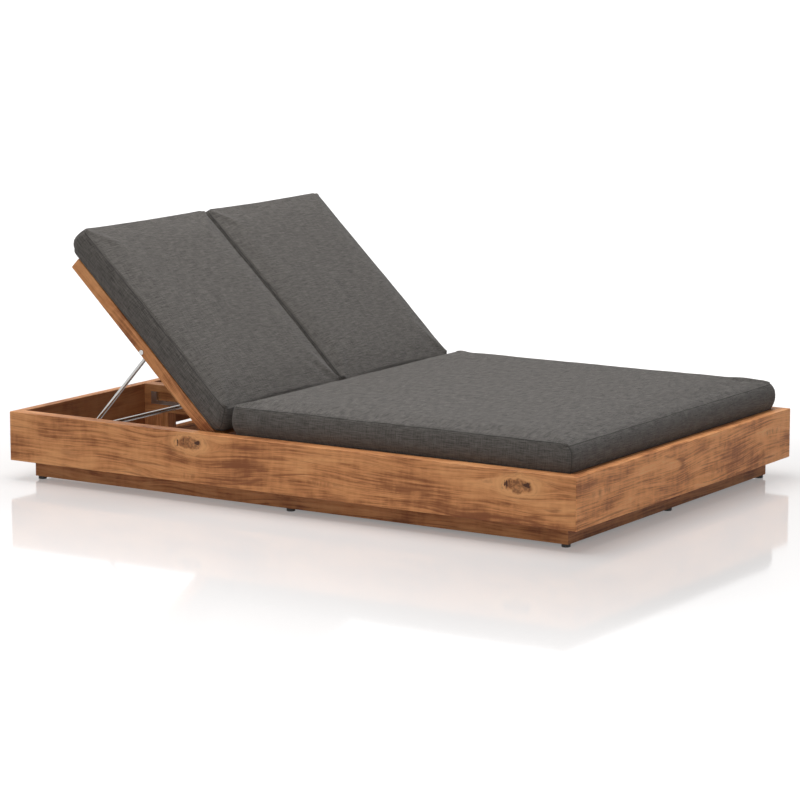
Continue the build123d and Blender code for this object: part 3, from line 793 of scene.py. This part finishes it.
def rounded(x, y, half_x, half_y, radius):
    """Moves a point of a rectangle's grid so that the rectangle gets round corners."""
    over_x = abs(x) - (half_x - radius)
    over_y = abs(y) - (half_y - radius)
    if over_x <= 0 or over_y <= 0:
        return x, y
    share_x = over_x / radius
    share_y = over_y / radius
    new_x = half_x - radius + radius * share_x * math.sqrt(1 - share_y**2 / 2)
    new_y = half_y - radius + radius * share_y * math.sqrt(1 - share_x**2 / 2)
    return math.copysign(new_x, x), math.copysign(new_y, y)


def drawn_in(x, y, half_x, half_y):
    """Draws the sides of the outline in between the corners."""
    pull_x = side_pull * (1 - (y / half_y) ** 2) * (x / half_x)
    pull_y = side_pull * (1 - (x / half_x) ** 2) * (y / half_y)
    return x - pull_x, y - pull_y


class Cushion:
    """A boxed cushion: two panels and a band between them, sewn along two seams."""

    def __init__(self, name, node, body, turn, seed, fit):
        self.name = name
        self.body = body
        low, high = local_box(node, turn)
        low -= Vector((fit["sides"], fit["foot"], 0))
        high += Vector((fit["sides"], fit["head"], 0))
        low.x += fit["shift"]
        high.x += fit["shift"]
        self.corner_radius = fit["corner"]
        self.rolls = fit["rolls"]
        self.heel = fit["heel"]
        self.half_x = (high.x - low.x) / 2
        self.half_y = (high.y - low.y) / 2
        self.height = high.z - low.z
        self.thick = self.height - crown_height
        self.place = Matrix.Rotation(turn, 4, "X") @ Matrix.Translation(
            ((low.x + high.x) / 2, (low.y + high.y) / 2, low.z)
        )
        self.seed = seed
        self.rings = {}
        self.mesh = self.cut_and_sew()
        self.start = [vertex.co.copy() for vertex in self.mesh.vertices]
        self.object = bpy.data.objects.new(name, self.mesh)
        bpy.context.scene.collection.objects.link(self.object)

    def levels(self):
        """Height and inset of each row of the band, from the bottom panel's edge to the top panel's."""
        top_seam = self.thick - top_seam_drop
        band_height = top_seam - low_seam_rise
        rows = [(0.0, foot_edge_inset), (low_seam_rise, low_seam_inset)]
        between = max(fewest_band_rows, round(band_height / cell))
        heights = [low_seam_rise + seam_row]
        for step in range(1, between):
            heights.append(low_seam_rise + band_height * step / between)
        heights.append(top_seam - seam_row)
        for height in heights:
            share = (height - low_seam_rise) / band_height
            inset = low_seam_inset + (top_seam_inset - low_seam_inset) * share
            rows.append((height, inset * (1 - math.sin(math.pi * share) ** band_roundness)))
        rows.append((top_seam, top_seam_inset))
        rows.append((self.thick - top_seam_drop / 2, top_seam_inset))
        rows.append((self.thick, top_seam_inset))
        return rows

    def roll_edges(self, x, y, height):
        """Rounds the upper edges, each side with its own radius, as a square turned into a circle."""
        foot, head, sides = self.rolls
        edges = ((foot, -1, False), (head, 1, False), (sides, -1, True), (sides, 1, True))
        for radius, sign, across in edges:
            place, half = (x, self.half_x) if across else (y, self.half_y)
            half -= top_seam_inset
            out = sign * place - (half - radius)
            up = height - (self.thick - radius)
            if out <= 0 or up <= 0:
                continue
            share = max(out, up) / math.hypot(out, up)
            height = self.thick - radius + up * share
            place = sign * (half - radius + out * share)
            x, y = (place, y) if across else (x, place)
        return x, y, height

    def cut_and_sew(self):
        """The unfilled cover's mesh, its cloth map, and the rings of points along its seams."""
        built = bmesh.new()
        cloth_map = built.loops.layers.uv.new("cloth")
        columns = stops(self.half_x, edge_rows)
        lines = stops(self.half_y, edge_rows)
        last_column = len(columns) - 1
        last_line = len(lines) - 1
        rim = [(c, 0) for c in range(last_column)]
        rim += [(last_column, r) for r in range(last_line)]
        rim += [(c, last_line) for c in range(last_column, 0, -1)]
        rim += [(0, r) for r in range(last_line, 0, -1)]
        around = [0.0]
        for (c, r), (next_c, next_r) in zip(rim, rim[1:] + rim[:1]):
            step = math.hypot(columns[next_c] - columns[c], lines[next_r] - lines[r])
            around.append(around[-1] + step)

        def spot(c, r, inset, height):
            """The place of a grid point at this height, moved in from the outline by the inset."""
            x, y = rounded(columns[c], lines[r], self.half_x, self.half_y, self.corner_radius)
            x, y = drawn_in(x, y, self.half_x, self.half_y)
            x *= 1 - inset / self.half_x
            y *= 1 - inset / self.half_y
            near_end = max(0.0, 1 - (self.half_y + y) / heel_reach)
            lowness = min(1.0, heel_fade * (1 - height / self.thick))
            x, y, height = self.roll_edges(x, y, height)
            return Vector((x, y - self.heel * near_end**2 * lowness, height))

        def crown(c, r):
            """How far a point of the top panel starts above the panel's edge."""
            rise = (1 - (columns[c] / self.half_x) ** 2) * (1 - (lines[r] / self.half_y) ** 2)
            return crown_start * math.sqrt(max(rise, 0))

        rows = self.levels()
        grids = {}
        for panel, (height, inset) in (("bottom", rows[0]), ("top", rows[-1])):
            for c in range(last_column + 1):
                for r in range(last_line + 1):
                    lift = Vector((0, 0, crown(c, r) if panel == "top" else 0.0))
                    grids[panel, c, r] = built.verts.new(spot(c, r, inset, height) + lift)
        band = [[grids["bottom", c, r] for c, r in rim]]
        for height, inset in rows[1:-1]:
            band.append([built.verts.new(spot(c, r, inset, height)) for c, r in rim])
        band.append([grids["top", c, r] for c, r in rim])

        def face(corners, places):
            made = built.faces.new(corners)
            made.smooth = True
            for loop, place in zip(made.loops, places):
                loop[cloth_map].uv = place

        for c in range(last_column):
            for r in range(last_line):
                ring = [(c, r), (c + 1, r), (c + 1, r + 1), (c, r + 1)]
                for panel, order in (("top", ring), ("bottom", ring[::-1])):
                    places = [(columns[i], lines[j]) for i, j in order]
                    face([grids[panel, i, j] for i, j in order], places)
        for level in range(len(rows) - 1):
            for number in range(len(rim)):
                after = (number + 1) % len(rim)
                corners = [band[level][number], band[level][after]]
                corners += [band[level + 1][after], band[level + 1][number]]
                low, high = rows[level][0], rows[level + 1][0]
                places = [(around[number], low), (around[number + 1], low)]
                places += [(around[number + 1], high), (around[number], high)]
                face(corners, places)
        built.verts.index_update()
        self.rings["low seam"] = [vertex.index for vertex in band[1]]
        self.rings["top seam"] = [vertex.index for vertex in band[-3]]
        self.rings["foot"] = [
            grids["bottom", c, r].index for c in range(last_column + 1) for r in range(last_line + 1)
        ]
        self.rings["upright seams"] = [
            [band[level][number].index for level in range(1, len(band) - 2)]
            for number, (c, r) in enumerate(rim)
            if c in (0, last_column) and r in (0, last_line)
        ]
        mesh = bpy.data.meshes.new(self.name)
        built.to_mesh(mesh)
        built.free()
        return mesh

    def swell(self):
        """Fills the cover by a cloth simulation with pressure inside, and holds its foot and seams."""
        scene = bpy.context.scene
        held = self.object.vertex_groups.new(name="held")
        held.add(self.rings["foot"] + self.rings["low seam"] + self.rings["top seam"], 1.0, "REPLACE")
        cloth_sim = self.object.modifiers.new("swell", "CLOTH")
        settings = cloth_sim.settings
        settings.quality = fill_quality
        settings.mass = cloth_mass
        settings.tension_stiffness = cloth_stretch_stiffness
        settings.compression_stiffness = cloth_stretch_stiffness
        settings.shear_stiffness = cloth_shear_stiffness
        settings.bending_stiffness = cloth_bending_stiffness
        settings.use_pressure = True
        settings.uniform_pressure_force = fill_pressure
        settings.effector_weights.gravity = 0.0
        settings.vertex_group_mass = "held"
        cloth_sim.collision_settings.use_collision = False
        cloth_sim.point_cache.frame_start = 1
        cloth_sim.point_cache.frame_end = fill_frames
        for number in range(1, fill_frames + 1):
            scene.frame_set(number)
        graph = bpy.context.evaluated_depsgraph_get()
        swollen = [vertex.co.copy() for vertex in self.object.evaluated_get(graph).data.vertices]
        self.object.modifiers.clear()
        self.object.vertex_groups.clear()
        scene.frame_set(1)
        for vertex, place, start in zip(self.mesh.vertices, swollen, self.start):
            step = place - start
            if step.length > 0:
                step *= swell_cap * math.tanh(step.length / swell_cap) / step.length
            vertex.co = start + step

    def settle(self):
        """Keeps the cover in its place, makes it a little uneven, and draws in the seams."""
        limit_x = self.half_x + cover_slack
        limit_y = self.half_y + cover_slack
        for vertex in self.mesh.vertices:
            place = vertex.co
            place.x = max(-limit_x, min(limit_x, place.x))
            place.y = max(-limit_y - self.heel, min(limit_y, place.y))
            free = min(1.0, max(0.0, place.z / self.thick))
            uneven = noise.fractal(Vector((place.x, place.y, self.seed)) * uneven_scale, *uneven_noise)
            place.z += uneven_height * uneven * free
        for ring in (self.rings["low seam"], self.rings["top seam"]):
            for index in ring:
                place = self.mesh.vertices[index].co
                inward = Vector((-place.x, -place.y, 0)).normalized()
                place += inward * seam_depth
        for line in self.rings["upright seams"]:
            for index in line:
                place = self.mesh.vertices[index].co
                place.x -= math.copysign(seam_depth * upright_seam_share, place.x)

    def stitch(self):
        """The sewn seams, as fine welts just proud of the cover."""
        built = bmesh.new()
        paths = [(self.rings["top seam"], True), (self.rings["low seam"], True)]
        paths += [(line, False) for line in self.rings["upright seams"]]
        for indices, closed in paths:
            points = [self.mesh.vertices[index].co.copy() for index in indices]
            count = len(points)
            hoops = []
            for number, point in enumerate(points):
                before = points[(number - 1) % count] if closed or number else point
                after = points[(number + 1) % count] if closed or number < count - 1 else point
                way = (after - before).normalized()
                out = Vector((point.x, point.y, 0)).normalized()
                out = (out - way * out.dot(way)).normalized()
                up = way.cross(out)
                hoop = []
                for side in range(thread_sides):
                    turn = 2 * math.pi * side / thread_sides
                    offset = out * math.cos(turn) + up * math.sin(turn)
                    hoop.append(built.verts.new(point + offset * seam_thread))
                hoops.append(hoop)
            for number in range(count if closed else count - 1):
                one, other = hoops[number], hoops[(number + 1) % count]
                for side in range(thread_sides):
                    after = (side + 1) % thread_sides
                    made = built.faces.new((one[side], one[after], other[after], other[side]))
                    made.smooth = True
        mesh = bpy.data.meshes.new(self.name + "_seams")
        bmesh.ops.recalc_face_normals(built, faces=built.faces)
        built.to_mesh(mesh)
        built.free()
        seams = bpy.data.objects.new(self.name + "_seams", mesh)
        bpy.context.scene.collection.objects.link(seams)
        return seams

    def finish(self, cover, sewing, node):
        """Fills and sews the cover, dresses it, and lets it take its CAD node's place."""
        self.swell()
        self.settle()
        seams = self.stitch()
        for piece, material in ((self.object, cover), (seams, sewing)):
            piece.data.materials.append(material)
            piece.data.transform(self.place)
            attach(piece, self.body)
        smooth = self.object.modifiers.new("round", "SUBSURF")
        smooth.levels = 1
        smooth.render_levels = 1
        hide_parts(node)


# How each cover sits over its CAD solid: what is added to its sides and ends, the radius of its plan
# corners, the rounding of its upper edges at the foot, head and sides, and how far its heel reaches down
seat_fit = {
    "sides": 0.007,
    "foot": 0.008,
    "head": 0.003,
    "corner": 0.014,
    "rolls": (0.040, 0.012, 0.018),
    "heel": 0.0,
}
back_fit = {
    "sides": 0.003,
    "foot": -0.002,
    "head": 0.006,
    "corner": 0.024,
    "rolls": (0.014, 0.015, 0.013),
    "heel": 0.044,
}
seat_shift = 0.005
back_shift = 0.003
seat_heather = 0.42
back_heather = 0.06

# The cushions: node, body, turn, seed, fit with its place along X, and heather
cushions = (
    ("seat_cushion", "frame", 0.0, 2.0, {**seat_fit, "shift": seat_shift}, seat_heather),
    ("left_back_cushion", "left_back", recline, 5.0, {**back_fit, "shift": -back_shift}, back_heather),
    ("right_back_cushion", "right_back", recline, 8.0, {**back_fit, "shift": back_shift}, back_heather),
)
sewing_thread = thread("sewing thread")
for node, body, turn, seed, fit, heather in cushions:
    cover = Cushion(node + "_cover", node, body, turn, seed, fit)
    cover.finish(cloth(node + " cloth", seed, heather), sewing_thread, node)


def white_to_the_eye(tree, strength):
    """This strength for the camera, reflections and clear things, and none for light on the lounger."""
    path = tree.tree.nodes.new("ShaderNodeLightPath")
    seen = tree.sum(path.outputs["Is Camera Ray"], path.outputs["Is Glossy Ray"])
    seen = tree.sum(seen, path.outputs["Is Transmission Ray"])
    return tree.sum(seen, strength, "MULTIPLY")


def floor_material():
    """A pale glossy floor that brightens to white away from the object, as a studio cove does."""
    material, tree, shader = new_material("pale floor")
    shader.inputs["Base Color"].default_value = floor_white
    shader.inputs["Roughness"].default_value = floor_roughness
    shader.inputs["Specular IOR Level"].default_value = floor_gloss
    shader.inputs["Emission Color"].default_value = floor_glow
    place = tree.add("TexCoord", output=3)
    past_edges = tree.vectors(tree.absolute(place), tray_half, "SUBTRACT")
    past_edges = tree.vectors(past_edges, (0.0, 0.0, 0.0), "MAXIMUM")
    glow = tree.ramp(tree.length(past_edges), cove_start, cove_reach, near_glow, far_glow)
    tree.put(shader, "Emission Strength", white_to_the_eye(tree, glow))
    return material


def lay_floor():
    """The floor that the lounger stands on."""
    mesh = bpy.data.meshes.new("floor")
    corners = [(x * floor_half, y * floor_half, 0) for x, y in ((-1, -1), (1, -1), (1, 1), (-1, 1))]
    mesh.from_pydata(corners, [], [(0, 1, 2, 3)])
    floor = bpy.data.objects.new("floor", mesh)
    bpy.context.scene.collection.objects.link(floor)
    mesh.materials.append(floor_material())


def light_the_room():
    """A pale room that shows as white to the camera and in reflections."""
    world = bpy.data.worlds.new("pale room")
    bpy.context.scene.world = world
    world.use_nodes = True
    world.node_tree.nodes.clear()
    tree = Tree(world.node_tree)
    room = tree.add("Background", Color=room_white, Strength=room_strength)
    white = tree.add("Background", Color=room_white, Strength=1.0)
    share = white_to_the_eye(tree, 1.0)
    mixed = tree.add("MixShader", i0=share, i1=room, i2=white)
    output = world.node_tree.nodes.new("ShaderNodeOutputWorld")
    world.node_tree.links.new(mixed, output.inputs["Surface"])


def add_lamp(name, place, size, power):
    """A square softbox that faces the lounger."""
    lamp = bpy.data.lights.new(name, "AREA")
    lamp.shape = "SQUARE"
    lamp.size = size
    lamp.energy = power
    made = bpy.data.objects.new(name, lamp)
    made.location = place
    made.rotation_euler = (Vector(lamp_aim) - Vector(place)).to_track_quat("-Z", "Y").to_euler()
    bpy.context.scene.collection.objects.link(made)


def set_camera():
    """The camera at the photo's place and angle."""
    data = bpy.data.cameras.new("camera")
    data.lens = camera_lens
    data.sensor_width = sensor_width
    data.clip_end = camera_sight
    made = bpy.data.objects.new("camera", data)
    level = math.cos(camera_dip)
    ahead_x = level * math.cos(camera_heading)
    ahead_y = level * math.sin(camera_heading)
    ahead = Vector((ahead_x, ahead_y, -math.sin(camera_dip)))
    made.location = camera_place
    made.rotation_euler = ahead.to_track_quat("-Z", "Y").to_euler()
    bpy.context.scene.collection.objects.link(made)
    bpy.context.scene.camera = made


lay_floor()
light_the_room()
for name, (place, size, power) in softboxes.items():
    add_lamp(name, place, size, power)
set_camera()
bpy.context.scene.view_settings.view_transform = "Standard"
